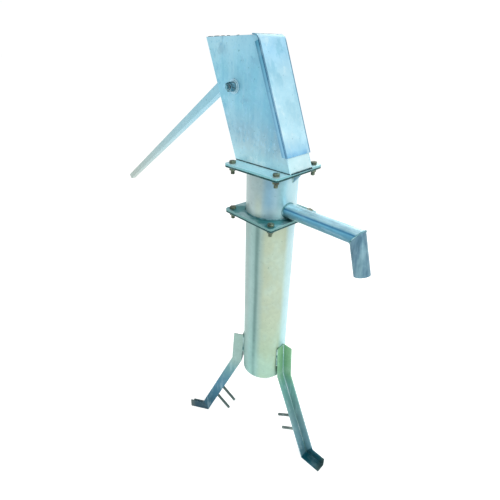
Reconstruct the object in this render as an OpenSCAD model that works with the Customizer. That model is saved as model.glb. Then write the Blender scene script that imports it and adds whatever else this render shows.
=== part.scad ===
// Deep-well lever hand pump: three-legged stand, water tank with spout, leaning head box,
// lever handle on ball bearings, chain quadrant, roller chain and connecting rod.
// Millimetres. +X towards the spout, handle towards -X, +Z up. The Z axis is the pump axis,
// and Z = 0 is the open lower end of the stand pipe. Rest pose: handle on its lower stop, rod fully up.

/* [Stand] */
// Outside diameter of the stand pipe and the tank (150 mm nominal bore steel pipe)
pipe_od = 165.1; // [160:0.1:170]
// Wall of the stand pipe and the tank
pipe_wall = 5; // [4:0.5:7]
// Height of the joint between stand and water tank
stand_joint = 685; // [600:5:750]
// Height of the stand pipe's lower end above the ground
ground_gap = 350; // [300:5:400]
// Height above the ground of the upper end of each leg
leg_top = 498; // [450:1:540]
// Height above the ground at which each leg bends outwards
leg_bend = 356; // [330:1:400]
// Gap between pipe and leg at the bend
leg_gap = 8; // [0:0.5:15]
// Direction of the left leg, in degrees from +X
left_turn = -150; // [-160:1:-100]
// Direction of the right leg, in degrees from +X
right_turn = 126; // [90:1:150]
// Radius at which the sloping part of a leg meets the ground
heel_r = 250; // [220:1:300]
// Radius of the tip of each foot
toe_r = 335; // [300:1:380]
// Width of each limb of the angle-iron legs
leg_w = 40; // [30:1:50]
// Thickness of the angle-iron legs
leg_t = 5; // [4:0.5:8]
// Diameter of the anchor rods on the legs
anchor_d = 12; // [6:1:14]
// Length of the anchor rods
anchor_len = 90; // [40:1:100]
// Height above the ground of the front leg's lower anchor rod
front_anchor_z = 116; // [80:1:200]
// Slope of the front leg's anchor rods below level, in degrees
front_dip = 39; // [0:1:70]
// Height above the ground of the left leg's lower anchor rod
left_anchor_z = 95; // [60:1:200]
// Slope of the left leg's anchor rods below level, in degrees
left_dip = 53; // [0:1:70]
// Height above the ground of the right leg's lower anchor rod
right_anchor_z = 228; // [80:1:240]
// Slope of the right leg's anchor rods below level, in degrees
right_dip = 70; // [0:1:70]
// Distance in height between the two anchor rods of a leg
anchor_step = 60; // [40:1:100]

/* [Flanges] */
// Side of the square flanges
flange_w = 216; // [200:1:240]
// Thickness of each flange
flange_t = 6; // [5:0.5:10]
// Corner radius of the flanges
flange_r = 9; // [4:1:20]
// Distance of a bolt from the middle planes of the flange
bolt_xy = 89; // [80:1:96]
// Nominal diameter of the flange bolts
bolt_d = 12; // [10:1:16]

/* [Water tank] */
// Height of the joint between water tank and head
tank_joint = 840; // [800:5:900]
// Outside diameter of the spout pipe
spout_od = 46; // [42:0.5:60]
// Wall of the spout pipe
spout_wall = 3.2; // [2.6:0.1:4]
// Height of the spout axis where it leaves the pump axis
spout_z = 712; // [710:1:770]
// Rise of the spout over its level run, in degrees
spout_rise = 3.5; // [-10:0.5:10]
// Turn of the spout about the pump axis, in degrees
spout_turn = -8; // [-20:1:20]
// Turn of the lower flange pair about the pump axis, in degrees
pair_turn = -4; // [-10:1:10]
// Distance from the pump axis to the spout's mitred corner
spout_reach = 347; // [300:1:400]
// Length of the spout's end piece, from the mitred corner
nozzle_len = 107; // [80:1:140]
// Angle of the end piece from straight down, in degrees
nozzle_out = 18.5; // [0:0.5:45]

/* [Head] */
// Width over the two side plates
head_w = 105; // [95:1:130]
// Thickness of the head's plates
plate_t = 4; // [3:0.5:6]
// Distance of the box's foot behind the pump axis
head_back = 113; // [100:1:120]
// Distance of the box's foot in front of the pump axis
head_front = 110; // [100:1:120]
// Distance of the top rear corner behind the pump axis
top_back = 240; // [200:1:260]
// Height of the top rear corner
top_back_z = 1186; // [1150:1:1210]
// Rise of the top plate towards the front, in degrees
top_rise = 2; // [0:0.5:10]
// Lean of the front cover from upright, in degrees
front_lean = 22; // [10:0.5:30]
// Radius of the fold between top and front
fold_r = 18; // [10:1:30]
// Height of the seam between front cover and lower front plate
seam_z = 890; // [870:1:930]
// Sheet thickness of the front cover
cover_t = 3; // [2:0.5:4]
// Width of the cover's side lips
lip_w = 13; // [8:1:16]

/* [Handle] */
// Distance of the handle axle behind the pump axis, also the pitch radius of the quadrant
axle_back = 120; // [110:1:130]
// Height of the handle axle
axle_z = 1060; // [1040:1:1080]
// Diameter of the handle axle
axle_d = 20; // [16:1:25]
// Droop of the handle at its lower stop, in degrees
droop = 34.5; // [25:0.5:45]
// Height of the bar's centre line above the axle, square to the bar
bar_offset = 52; // [45:0.5:60]
// Length of the bar behind the axle
bar_rear = 897; // [800:1:950]
// Length of the bar in front of the axle
bar_front = 66; // [50:1:75]
// Thickness of the square bar at its front end
bar_root = 30; // [25:0.5:35]
// Thickness of the square bar at its grip end
bar_tip = 22; // [18:0.5:32]
// Outside radius of the bearing housing
housing_r = 38; // [34:0.5:40]
// Length of the bearing housing
housing_len = 60; // [50:1:70]

/* [Chain and rod] */
// Pitch of the roller chain
pitch = 25.4; // [19.05:0.01:31.75]
// Radius of the chain rollers
roller_r = 7.94; // [6:0.01:9]
// Clear width between the inner link plates
chain_gap = 17; // [12:0.1:20]
// Half height of the link plates
link_r = 10.4; // [9:0.1:12]
// Thickness of the link plates
link_t = 3.2; // [2.5:0.1:4.2]
// Number of chain pitches laid over the quadrant
wraps = 5; // [4:1:6]
// Diameter of the connecting rod
rod_d = 12; // [10:1:14]
// Height of the connecting rod's lower end with the rod fully up
rod_end = 745; // [740:1:800]

/* [Hidden] */
$fa = 3;
$fs = 0.6;
fit = 0.05;
weld_gap = 0.01;
far = 400;
pipe_r = pipe_od / 2;
bore_r = pipe_r - pipe_wall;
tank_low = stand_joint + flange_t;
tank_high = tank_joint - flange_t;
head_z = tank_joint + flange_t;
bend_r = pipe_r + leg_gap;
slope_a = atan2(heel_r - bend_r, leg_bend);
side_y = head_w / 2;
inner_y = side_y - plate_t;
axle = [-axle_back, 0, axle_z];
steps = 10;

// Bolts and nuts, ISO sizes
nut_af = 19;
nut_h = 10.4;
bolt_head_h = 7.6;
bolt_grip = 2 * flange_t;
bolt_end = 12;
hole_clear = 1;

// Spout root inside the tank, and the tank's gusset
spout_root = 60;
gusset_reach = 24;
gusset_drop = 30;
gusset_nose = 4;
gusset_t = 5;

// Front cover
cover_gap = 0.4;
cover_lap = 8;
top_lip = 6;

// Cross plate under the handle bar
stop_seat = 44;
stop_depth = 34;
stop_t = 8;
stop_gap = 0.3;

// Ball bearing 6204
race_bore = 20;
race_od = 47;
race_w = 14;
ball_d = 7.94;
ball_count = 8;
ball_ring = 16.75;
land_in = 14.4;
land_out = 19.2;

// Handle axle fittings
bush_r = 18;
bush_rim_r = 21;
bush_rim_t = 3;
washer_r = 17;
washer_t = 2.5;
tail_r = 8;
tail_end = 4;
shoulder_gap = 0.5;
bush_gap = 5;
axle_head_h = 10;
axle_nut_af = 24;
axle_nut_h = 11;
lock_nut_h = 8;

// Lower chain coupling and the rod's guide
coupling_r = 13;
coupling_low = 1000;
barrel_h = 14;
eye_r = 10;
eye_low = 6;
rod_grip = 18;
lock_h = 10;
thread_r = 5.4;
thread_len = 40;
guide_r = 16;
guide_top = 864;
guide_low = 828;

// Threaded holder for the riser pipe
socket_r = 27;
socket_bore = 21;
socket_len = 50;

// Outline of the head's side plate in the XZ plane
front_n = [cos(front_lean), sin(front_lean)];
front_t = [-sin(front_lean), cos(front_lean)];
top_n = [-sin(top_rise), cos(top_rise)];
foot_front = [head_front, head_z];
foot_back = [-head_back, head_z];
top_rear = [-top_back, top_back_z];
front_d = front_n * foot_front;
top_d = top_n * top_rear;
det = front_n[0] * top_n[1] - front_n[1] * top_n[0];
fold_c = [
    ((front_d - fold_r) * top_n[1] - (top_d - fold_r) * front_n[1]) / det,
    ((top_d - fold_r) * front_n[0] - (front_d - fold_r) * top_n[0]) / det
];

// Chain on the quadrant
wrap_r = axle_back;
wrap_a = 2 * asin(pitch / 2 / wrap_r);
rim_r = wrap_r - roller_r;
rim_t = 9;
rim_w = chain_gap - 2;
lug_w = rim_w - 2;
rim_low = -4;
web_sweep = 62;
web_t = 8;
lug_r = 9;
lug_step = 1;
rim_over = 5;
link_waist = 1.5;
link_clear = 0.2;
roller_clear = 0.1;
roller_fit = 0.02;
anchor_a = wraps * wrap_a;
inner_plate_y = chain_gap / 2;
anchor_y = inner_plate_y + link_t;
outer_plate_y = anchor_y + link_clear;
pin_r = 4.1;
pin_y = outer_plate_y + link_t;

// Bolt at the end of the chain
chain_bolt_af = 13;
chain_bolt_head = 5.3;
chain_nut_h = 6.5;
chain_bolt_end = 1.5;

// Points of an arc from angle a to angle b
function arc(c, r, a, b) = [
    for (i = [0:steps])
        c + r * [cos(a + (b - a) * i / steps), sin(a + (b - a) * i / steps)]
];
// Point on the front line of the head, grown outwards by g, at height z
function front_at(z, g) = [(front_d + g - front_n[1] * z) / front_n[0], z];
// Point on the top line of the head, grown outwards by g, at distance x
function top_at(x, g) = [x, (top_d + g - top_n[0] * x) / top_n[1]];
// Points of the fold between front and top, grown outwards by g
function fold(g) = arc(fold_c, fold_r + g, front_lean, 90 + top_rise);
// Points in reverse order
function back(p) = [for (i = [len(p) - 1:-1:0]) p[i]];

// Lays a profile drawn in XZ as a plate from y to y + t
module upright(y, t) {
    translate([0, y + t, 0])
        rotate([90, 0, 0])
            linear_extrude(t)
                children();
}

// Cylinder along Y from y to y + len
module y_rod(r, y, len) {
    translate([0, y, 0])
        rotate([-90, 0, 0])
            cylinder(r = r, h = len);
}

// Hexagonal prism along Z, af across flats
module hex(af, h) {
    cylinder(r = af / sqrt(3), h = h, $fn = 6);
}

// Places children at the four corner bolts
module corners() {
    for (sx = [-1, 1])
        for (sy = [-1, 1])
            translate([sx * bolt_xy, sy * bolt_xy, 0])
                children();
}

// Square flange with rounded corners, bolt holes and a middle hole
module flange(z, hole_r) {
    w = flange_w - 2 * flange_r;
    translate([0, 0, z])
        difference() {
            linear_extrude(flange_t)
                difference() {
                    union() {
                        square([flange_w, w], center = true);
                        square([w, flange_w], center = true);
                        for (sx = [-1, 1])
                            for (sy = [-1, 1])
                                translate([sx * w / 2, sy * w / 2])
                                    circle(r = flange_r);
                    }
                    circle(r = hole_r);
                }
            translate([0, 0, -1])
                corners()
                    cylinder(d = bolt_d + hole_clear, h = flange_t + 2);
        }
}

// Four hexagon bolts, heads up, through the flange pair meeting at height z
module flange_bolts(z) {
    translate([0, 0, z])
        corners() {
            translate([0, 0, flange_t])
                hex(nut_af, bolt_head_h);
            translate([0, 0, -flange_t - nut_h - bolt_end])
                cylinder(d = bolt_d, h = bolt_grip + nut_h + bolt_end);
        }
}

// Four nuts under the flange pair meeting at height z
module flange_nuts(z) {
    translate([0, 0, z - flange_t - nut_h])
        corners()
            difference() {
                hex(nut_af, nut_h);
                translate([0, 0, -1])
                    cylinder(d = bolt_d + 2 * fit, h = nut_h + 2);
            }
}

// Stand
module pedestal_pipe() {
    color("SteelBlue")
        difference() {
            cylinder(r = pipe_r, h = stand_joint - flange_t - weld_gap);
            translate([0, 0, -1])
                cylinder(r = bore_r, h = stand_joint);
        }
}

module pedestal_flange() {
    color("LightSteelBlue")
        rotate([0, 0, pair_turn])
            flange(stand_joint - flange_t, bore_r);
}

// Back line of a leg, from the pipe to the toe, set out by g towards the standing limb
function leg_line(g) = [
    [pipe_r + g, leg_top],
    [bend_r + g, leg_bend + g * tan(slope_a / 2)],
    [heel_r + g * tan(45 - slope_a / 2), g],
    [toe_r, g]
];

// Bent angle-iron leg in the given direction, one limb on the pipe and one standing out
module leg(turn) {
    translate([0, 0, -ground_gap])
        rotate([0, 0, turn]) {
            upright(-leg_w / 2, leg_w)
                polygon(concat(leg_line(0), back(leg_line(leg_t))));
            upright(leg_w / 2 - leg_t, leg_t)
                polygon(concat(leg_line(0), back(leg_line(leg_w))));
        }
}

module leg_front() {
    color("CadetBlue")
        leg(0);
}

module leg_left() {
    color("CadetBlue")
        leg(left_turn);
}

module leg_right() {
    color("CadetBlue")
        leg(right_turn);
}

// Two rods on the back of a leg, the lower one at height z, cut off just short of the sloping face
module leg_anchors(turn, z, dip) {
    translate([0, 0, -ground_gap])
        rotate([0, 0, turn])
            for (h = [z, z + anchor_step])
                difference() {
                    translate([heel_r - h * tan(slope_a), 0, h])
                        rotate([0, -90 - dip, 0])
                            translate([0, 0, -anchor_d])
                                cylinder(d = anchor_d, h = anchor_len + anchor_d);
                    translate([heel_r - weld_gap, 0, 0])
                        rotate([0, -slope_a, 0])
                            translate([0, -leg_w, 0])
                                cube([leg_w, 2 * leg_w, leg_bend * 1.2]);
                }
}

module anchor_rods() {
    color("SlateGray") {
        leg_anchors(0, front_anchor_z, front_dip);
        leg_anchors(left_turn, left_anchor_z, left_dip);
        leg_anchors(right_turn, right_anchor_z, right_dip);
    }
}

// Water tank
module tank_bottom_flange() {
    color("LightSteelBlue")
        rotate([0, 0, pair_turn])
            flange(stand_joint, socket_r + fit);
}

module tank_top_flange() {
    color("LightSteelBlue")
        flange(tank_high, bore_r);
}

module tank_gusset() {
    tip = pipe_r + gusset_reach;
    color("CadetBlue")
        upright(-gusset_t / 2, gusset_t)
            polygon([
                [pipe_r, tank_high],
                [tip, tank_high],
                [tip, tank_high - gusset_nose],
                [pipe_r, tank_high - gusset_drop]
            ]);
}

// Frame of the spout: X along its level run, origin on the pump axis
module at_spout() {
    translate([0, 0, spout_z])
        rotate([0, -spout_rise, spout_turn])
            children();
}

// Half space beyond the mitre, in the spout's frame
mitre_a = (90 - nozzle_out + spout_rise) / 2;
module beyond_mitre() {
    translate([spout_reach, 0, 0])
        rotate([0, mitre_a, 0])
            translate([0, -far / 2, -far / 2])
                cube([far, far, far]);
}

module spout_tube(r, low, high) {
    translate([low, 0, 0])
        rotate([0, 90, 0])
            cylinder(r = r, h = high - low);
}

module tank_shell() {
    color("SteelBlue")
        difference() {
            translate([0, 0, tank_low + weld_gap])
                cylinder(r = pipe_r, h = tank_high - tank_low - 2 * weld_gap);
            translate([0, 0, tank_low - 1])
                cylinder(r = bore_r, h = tank_high - tank_low + 2);
            at_spout()
                spout_tube(spout_od / 2 - spout_wall, 0, pipe_r + spout_od);
        }
}

module spout_pipe() {
    color("LightBlue")
        difference() {
            at_spout()
                difference() {
                    spout_tube(spout_od / 2, spout_root, spout_reach + spout_od);
                    spout_tube(spout_od / 2 - spout_wall, 0, spout_reach + 2 * spout_od);
                    beyond_mitre();
                }
            translate([0, 0, tank_low - spout_od])
                cylinder(r = pipe_r, h = tank_high - tank_low + spout_od);
        }
}

// End piece: starts at the mitre and points down and outwards
module spout_nozzle() {
    r = spout_od / 2;
    color("LightBlue")
        at_spout()
            intersection() {
                translate([spout_reach, 0, 0])
                    rotate([0, 180 - nozzle_out + spout_rise, 0])
                        difference() {
                            translate([0, 0, -2 * r])
                                cylinder(r = r, h = nozzle_len + 2 * r);
                            translate([0, 0, -2 * r - 1])
                                cylinder(r = r - spout_wall, h = nozzle_len + 2 * r + 2);
                        }
                beyond_mitre();
            }
}

module riser_socket() {
    color("SteelBlue")
        translate([0, 0, stand_joint])
            difference() {
                cylinder(r = socket_r, h = socket_len);
                translate([0, 0, -1])
                    cylinder(r = socket_bore, h = socket_len + 2);
            }
}

module tank_bolts() {
    color("Olive")
        rotate([0, 0, pair_turn])
            flange_bolts(stand_joint);
}

module tank_nuts() {
    color("DarkKhaki")
        rotate([0, 0, pair_turn])
            flange_nuts(stand_joint);
}

module head_bolts() {
    color("Olive")
        flange_bolts(tank_joint);
}

module head_nuts() {
    color("DarkKhaki")
        flange_nuts(tank_joint);
}

// Head
module head_flange() {
    color("LightSteelBlue")
        flange(tank_joint, guide_r + fit);
}

module rod_guide() {
    color("SteelBlue")
        translate([0, 0, guide_low])
            difference() {
                cylinder(r = guide_r, h = guide_top - guide_low);
                translate([0, 0, -1])
                    cylinder(d = rod_d + 2 * fit, h = guide_top - guide_low + 2);
            }
}

// Side plate at the given y, with the hole for its axle bush
module side_plate(y) {
    difference() {
        upright(y, plate_t)
            polygon(concat([foot_back, foot_front], fold(0), [top_rear]));
        translate(axle)
            y_rod(bush_r, y - 1, plate_t + 2);
    }
}

module side_plate_left() {
    color("LightBlue")
        side_plate(-side_y);
}

module side_plate_right() {
    color("LightBlue")
        side_plate(inner_y);
}

module top_plate() {
    y = inner_y;
    color("LightSteelBlue")
        upright(-y, 2 * y)
            polygon([
                top_rear,
                top_at(fold_c[0], 0),
                top_at(fold_c[0], -plate_t),
                top_at(-top_back, -plate_t)
            ]);
}

module lower_front_plate() {
    y = inner_y;
    top = seam_z + cover_lap;
    color("LightBlue")
        upright(-y, 2 * y)
            polygon([
                foot_front,
                front_at(top, 0),
                front_at(top, -plate_t),
                front_at(head_z, -plate_t)
            ]);
}

// Cover: sloping front, fold and top lip as one strip, plus two side lips
module front_cover() {
    gap = cover_gap;
    out = gap + cover_t;
    y = side_y + out;
    lip_end = fold_c[0] - top_lip;
    color("AliceBlue") {
        upright(-y, 2 * y)
            polygon(concat(
                [front_at(seam_z, out)],
                fold(out),
                [top_at(lip_end, out), top_at(lip_end, gap)],
                back(fold(gap)),
                [front_at(seam_z, gap)]
            ));
        for (low = [-y, side_y + gap])
            upright(low, cover_t)
                polygon([
                    front_at(seam_z, gap),
                    fold_c + (fold_r + gap) * front_n,
                    fold_c + (fold_r - lip_w) * front_n,
                    front_at(seam_z, -lip_w)
                ]);
    }
}

// Frame of the handle bar: X along the bar towards the grip, origin above the axle
module at_bar() {
    translate(axle)
        rotate([0, droop, 180])
            translate([0, 0, bar_offset])
                children();
}

// Cross plate between the side plates that the bar rests on
module handle_stop() {
    taper = (bar_tip - bar_root) / (bar_rear + bar_front);
    half = (bar_root + taper * (stop_seat + bar_front)) / 2;
    y = inner_y;
    color("LightSteelBlue")
        at_bar()
            translate([stop_seat - stop_t / 2, -y, -half - stop_gap - stop_depth])
                cube([stop_t, 2 * y, stop_depth]);
}

module axle_bushes() {
    start = housing_len / 2;
    color("SlateGray")
        for (turn = [0, 180])
            translate(axle)
                rotate([0, 0, turn])
                    difference() {
                        union() {
                            y_rod(bush_r, start + bush_gap, side_y - start - bush_gap);
                            y_rod(bush_rim_r, side_y, bush_rim_t);
                            y_rod(land_in, start, bush_gap + 1);
                        }
                        y_rod(axle_d / 2 + fit, 0, 2 * side_y);
                    }
}

// Fixed axle: hexagon head on the far side, thinner threaded tail on the near side
rim_y = side_y + bush_rim_t;
module handle_axle() {
    head_y = rim_y + washer_t;
    shoulder = head_y - shoulder_gap;
    tail = head_y + axle_nut_h + lock_nut_h + tail_end;
    color("Gray")
        translate(axle) {
            y_rod(axle_d / 2, -shoulder, shoulder + head_y);
            y_rod(tail_r, -tail, tail);
            translate([0, head_y, 0])
                rotate([-90, 0, 0])
                    hex(axle_nut_af, axle_head_h);
        }
}

module axle_washers() {
    color("Silver")
        translate(axle)
            for (y = [-rim_y - washer_t, rim_y])
                difference() {
                    y_rod(washer_r, y, washer_t);
                    y_rod(axle_d / 2 + fit, y - 1, washer_t + 2);
                }
}

// Nut on the axle, its outer face at y
module axle_hex(y, h, turn) {
    translate(axle + [0, y, 0])
        rotate([-90, turn, 0])
            difference() {
                hex(axle_nut_af, h);
                translate([0, 0, -1])
                    cylinder(r = tail_r + fit, h = h + 2);
            }
}

module axle_nut() {
    color("Gray")
        axle_hex(-rim_y - washer_t - axle_nut_h, axle_nut_h, 12);
}

module axle_lock_nut() {
    color("DimGray")
        axle_hex(-rim_y - washer_t - axle_nut_h - lock_nut_h, lock_nut_h, 38);
}

// Bearings at both ends of the housing
race_y = housing_len / 2 - race_w / 2;
module bearing_ring(r_in, r_out) {
    for (y = [-race_y, race_y])
        translate(axle + [0, y, 0])
            rotate([-90, 0, 0])
                rotate_extrude()
                    difference() {
                        translate([r_in, -race_w / 2])
                            square([r_out - r_in, race_w]);
                        translate([ball_ring, 0])
                            circle(d = ball_d + 2 * fit);
                    }
}

module bearing_inner_rings() {
    color("Silver")
        bearing_ring(race_bore / 2 + fit, land_in);
}

module bearing_outer_rings() {
    color("Silver")
        bearing_ring(land_out, race_od / 2 - fit);
}

module bearing_balls() {
    color("White")
        for (y = [-race_y, race_y])
            for (i = [0:ball_count - 1])
                translate(axle + [0, y, 0])
                    rotate([0, i * 360 / ball_count, 0])
                        translate([ball_ring, 0, 0])
                            sphere(d = ball_d);
}

module bearing_spacer() {
    len = housing_len - 2 * race_w;
    color("Gray")
        translate(axle)
            difference() {
                y_rod(land_in, -len / 2, len);
                y_rod(axle_d / 2 + fit, -len, 2 * len);
            }
}

// Handle
module bearing_housing() {
    color("SteelBlue")
        translate(axle)
            difference() {
                y_rod(housing_r, -housing_len / 2, housing_len);
                y_rod(race_od / 2, -housing_len, 2 * housing_len);
            }
}

// Half outline of the tapered bar, in the bar's frame
module bar_outline() {
    polygon([
        [-bar_front, -bar_root / 2],
        [bar_rear, -bar_tip / 2],
        [bar_rear, bar_tip / 2],
        [-bar_front, bar_root / 2]
    ]);
}

module handle_bar() {
    color("LightBlue")
        difference() {
            at_bar()
                intersection() {
                    upright(-bar_root, 2 * bar_root)
                        bar_outline();
                    translate([0, 0, -bar_root])
                        linear_extrude(2 * bar_root)
                            bar_outline();
                }
            translate(axle)
                y_rod(housing_r + fit, -bar_root, 2 * bar_root);
        }
}

// Ring segment about the axle, from angle a over sweep s
module segment(r_in, r_out, w, a, s) {
    reach = 2 * r_out;
    translate(axle)
        intersection() {
            difference() {
                y_rod(r_out, -w / 2, w);
                y_rod(r_in, -w, 2 * w);
            }
            upright(-w, 2 * w)
                polygon([[0, 0], reach * [cos(a), sin(a)], reach * [cos(a + s), sin(a + s)]]);
        }
}

// Places children at the chain's anchor on the quadrant, X pointing outwards
module at_anchor() {
    translate(axle)
        rotate([0, -anchor_a, 0])
            translate([wrap_r, 0, 0])
                children();
}

// Chain guide: curved rim, web and anchor lug
module chain_quadrant() {
    stem = wrap_r - rim_r + rim_t / 2;
    half = lug_w / 2;
    color("SteelBlue")
        difference() {
            union() {
                segment(rim_r - rim_t, rim_r, rim_w, rim_low, anchor_a - rim_low + rim_over);
                segment(housing_r + fit, rim_r - rim_t / 2, web_t, rim_low, web_sweep);
                at_anchor() {
                    translate([-stem, -half, -lug_r + lug_step])
                        cube([stem, lug_w, 2 * (lug_r - lug_step)]);
                    y_rod(lug_r, -half, lug_w);
                }
            }
            at_anchor()
                y_rod(pin_r + fit, -rim_w, 2 * rim_w);
        }
}

// Plate of a chain link along +X from its first pin, hole for each pin
module link_plate(y) {
    difference() {
        union() {
            y_rod(link_r, y, link_t);
            translate([pitch, 0, 0])
                y_rod(link_r, y, link_t);
            translate([0, y, -link_r + link_waist])
                cube([pitch, link_t, 2 * (link_r - link_waist)]);
        }
        for (x = [0, pitch])
            translate([x, 0, 0])
                y_rod(pin_r + fit, y - 1, link_t + 2);
    }
}

module link_pair(y) {
    link_plate(y);
    link_plate(-y - link_t);
}

// Places a link between chain joints k and k + 1 on the quadrant
module on_wrap(k) {
    translate(axle)
        rotate([0, -k * wrap_a, 0])
            translate([wrap_r, 0, 0])
                rotate([0, -90 - wrap_a / 2, 0])
                    children();
}

module chain_inner_links() {
    color("DimGray")
        for (k = [0:2:wraps - 1])
            on_wrap(k)
                link_pair(inner_plate_y);
}

module chain_outer_links() {
    color("DarkSlateGray")
        for (k = [1:2:wraps - 1])
            on_wrap(k)
                link_pair(outer_plate_y);
}

module chain_rollers() {
    color("Gray")
        for (k = [0:wraps - 1])
            on_wrap(k)
                difference() {
                    y_rod(roller_r - roller_fit, -inner_plate_y + roller_clear, chain_gap - 2 * roller_clear);
                    y_rod(pin_r + fit, -chain_gap, 2 * chain_gap);
                }
}

module chain_pins() {
    color("Silver")
        for (k = [0:wraps - 1])
            on_wrap(k) {
                half = k == 0 ? anchor_y : pin_y;
                y_rod(pin_r, -half, 2 * half);
            }
}

// Bolt that ties the end of the chain to the quadrant's lug
module chain_anchor_bolt() {
    tail = anchor_y + chain_nut_h + chain_bolt_end;
    color("Olive")
        at_anchor() {
            y_rod(pin_r, -tail, tail + anchor_y);
            translate([0, anchor_y, 0])
                rotate([-90, 0, 0])
                    hex(chain_bolt_af, chain_bolt_head);
        }
}

module chain_anchor_nut() {
    color("DarkKhaki")
        at_anchor()
            translate([0, -anchor_y - chain_nut_h, 0])
                rotate([-90, 0, 0])
                    difference() {
                        hex(chain_bolt_af, chain_nut_h);
                        translate([0, 0, -1])
                            cylinder(r = pin_r + fit, h = chain_nut_h + 2);
                    }
}

// Free end of the chain, on the pump axis
module chain_lower_link() {
    color("DarkSlateGray")
        translate([0, 0, axle_z])
            rotate([0, 90, 0])
                link_pair(outer_plate_y);
}

module chain_lower_pin() {
    color("Silver")
        translate([0, 0, axle_z - pitch])
            y_rod(pin_r, -pin_y, 2 * pin_y);
}

// Coupling: flat eye for the chain above, threaded barrel for the rod below
module chain_coupling() {
    eye_z = axle_z - pitch;
    half = outer_plate_y - link_clear;
    color("SteelBlue")
        difference() {
            union() {
                translate([0, 0, eye_z])
                    y_rod(eye_r, -half, 2 * half);
                translate([-eye_r, -half, coupling_low + eye_low])
                    cube([2 * eye_r, 2 * half, eye_z - coupling_low - eye_low]);
                translate([0, 0, coupling_low])
                    cylinder(r = coupling_r, h = barrel_h);
            }
            translate([0, 0, eye_z])
                y_rod(pin_r + fit, -2 * half, 4 * half);
            translate([0, 0, coupling_low - 1])
                cylinder(d = rod_d + 2 * fit, h = rod_grip + 2);
        }
}

module rod_lock_nut() {
    color("DarkKhaki")
        translate([0, 0, coupling_low - lock_h])
            difference() {
                hex(nut_af, lock_h);
                translate([0, 0, -1])
                    cylinder(d = rod_d + 2 * fit, h = lock_h + 2);
            }
}

// Rod with a threaded lower end for the next rod's coupler
module connecting_rod() {
    color("Silver")
        translate([0, 0, rod_end]) {
            cylinder(r = thread_r, h = thread_len);
            translate([0, 0, thread_len])
                cylinder(d = rod_d, h = coupling_low + rod_grip - rod_end - thread_len);
        }
}

pedestal_pipe();
pedestal_flange();
leg_front();
leg_left();
leg_right();
anchor_rods();
tank_bottom_flange();
tank_shell();
tank_top_flange();
tank_gusset();
spout_pipe();
spout_nozzle();
riser_socket();
tank_bolts();
tank_nuts();
head_bolts();
head_nuts();
head_flange();
rod_guide();
side_plate_left();
side_plate_right();
top_plate();
lower_front_plate();
handle_stop();
axle_bushes();
handle_axle();
axle_washers();
axle_nut();
axle_lock_nut();
bearing_inner_rings();
bearing_spacer();
bearing_balls();
bearing_outer_rings();
bearing_housing();
handle_bar();
chain_quadrant();
chain_inner_links();
chain_outer_links();
chain_rollers();
chain_pins();
chain_anchor_bolt();
chain_anchor_nut();
chain_lower_link();
chain_lower_pin();
chain_coupling();
rod_lock_nut();
connecting_rod();
front_cover();
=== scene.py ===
"""Looks of a deep-well lever hand pump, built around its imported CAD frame.

Metres, +X towards the spout, handle towards -X, +Z up, the pump axis on Z. The script dresses the CAD
nodes with procedural zinc finishes, softens their edges, and adds weld beads, root radii and screw
threads.
"""

import math

import bmesh
import bpy
from mathutils import Matrix, Vector, noise


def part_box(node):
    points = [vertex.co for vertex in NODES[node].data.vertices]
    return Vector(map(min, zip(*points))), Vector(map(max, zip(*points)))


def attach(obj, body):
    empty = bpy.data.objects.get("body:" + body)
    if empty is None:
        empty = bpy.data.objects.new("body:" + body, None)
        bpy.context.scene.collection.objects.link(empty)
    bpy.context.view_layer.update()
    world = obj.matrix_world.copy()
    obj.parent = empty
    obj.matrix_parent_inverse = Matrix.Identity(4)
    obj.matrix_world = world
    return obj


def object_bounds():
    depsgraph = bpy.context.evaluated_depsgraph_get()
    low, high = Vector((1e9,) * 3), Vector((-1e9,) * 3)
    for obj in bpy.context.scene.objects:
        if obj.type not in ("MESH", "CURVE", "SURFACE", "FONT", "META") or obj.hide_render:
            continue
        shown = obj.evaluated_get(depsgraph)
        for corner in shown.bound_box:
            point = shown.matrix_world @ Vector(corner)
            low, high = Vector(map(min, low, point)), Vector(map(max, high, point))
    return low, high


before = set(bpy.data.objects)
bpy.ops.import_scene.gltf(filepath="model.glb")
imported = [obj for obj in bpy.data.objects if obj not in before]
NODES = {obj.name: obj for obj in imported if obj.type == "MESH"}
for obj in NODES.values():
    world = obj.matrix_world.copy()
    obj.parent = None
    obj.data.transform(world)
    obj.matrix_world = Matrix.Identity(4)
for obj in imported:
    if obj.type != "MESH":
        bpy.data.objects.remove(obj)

cad_low, cad_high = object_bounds()
MM = 0.001

# Camera, at the distance and angle from which the pump is seen
CAMERA_PLACE = Vector((0.750, -0.882, 1.177))
CAMERA_HEADING = math.radians(43.67)
CAMERA_DOWN = math.radians(28.94)
CAMERA_ROLL = math.radians(1.22)
CAMERA_LENS = 27.19
SENSOR = 36.0

# Studio: light of the surroundings on the pump and towards the camera, and the floor's own glow
AMBIENT = 0.62
BACKDROP = 1.02
FLOOR_GLOW = 0.45
FLOOR_RADIUS = 40
LIGHT_TARGET = (0, 0, 0.5)

# Edges sharper than this are rounded, and count as outlines
SHARP = math.radians(32)

# Head box: its lean, the rise of its top, where its top seams are tacked from the rear corner, the
# stretch of weld splashes along its foot, and the width of the cover's side lips
HEAD_LEAN = math.radians(22)
TOP_RISE = math.radians(2)
TOP_TACKS = [(0.004, 0.028), (0.031, 0.056), (0.06, 0.078), (0.086, 0.1), (0.125, 0.138)]
WASH_FROM = -0.09
WASH_TO = 0.04
LIP_WIDE = 0.013

# Legs: their directions, and the heel and toe of a foot as radii, with the heel line's slant outwards
LEG_TURNS = (0, -150, 126)
HEEL_RADIUS = 0.246
HEEL_SLANT = 0.5
TOE_RADIUS = 0.335

# Nominal radii of the screw threads
BOLT_THREAD = 6 * MM
AXLE_THREAD = 8 * MM
ROD_THREAD = 5.4 * MM


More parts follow.
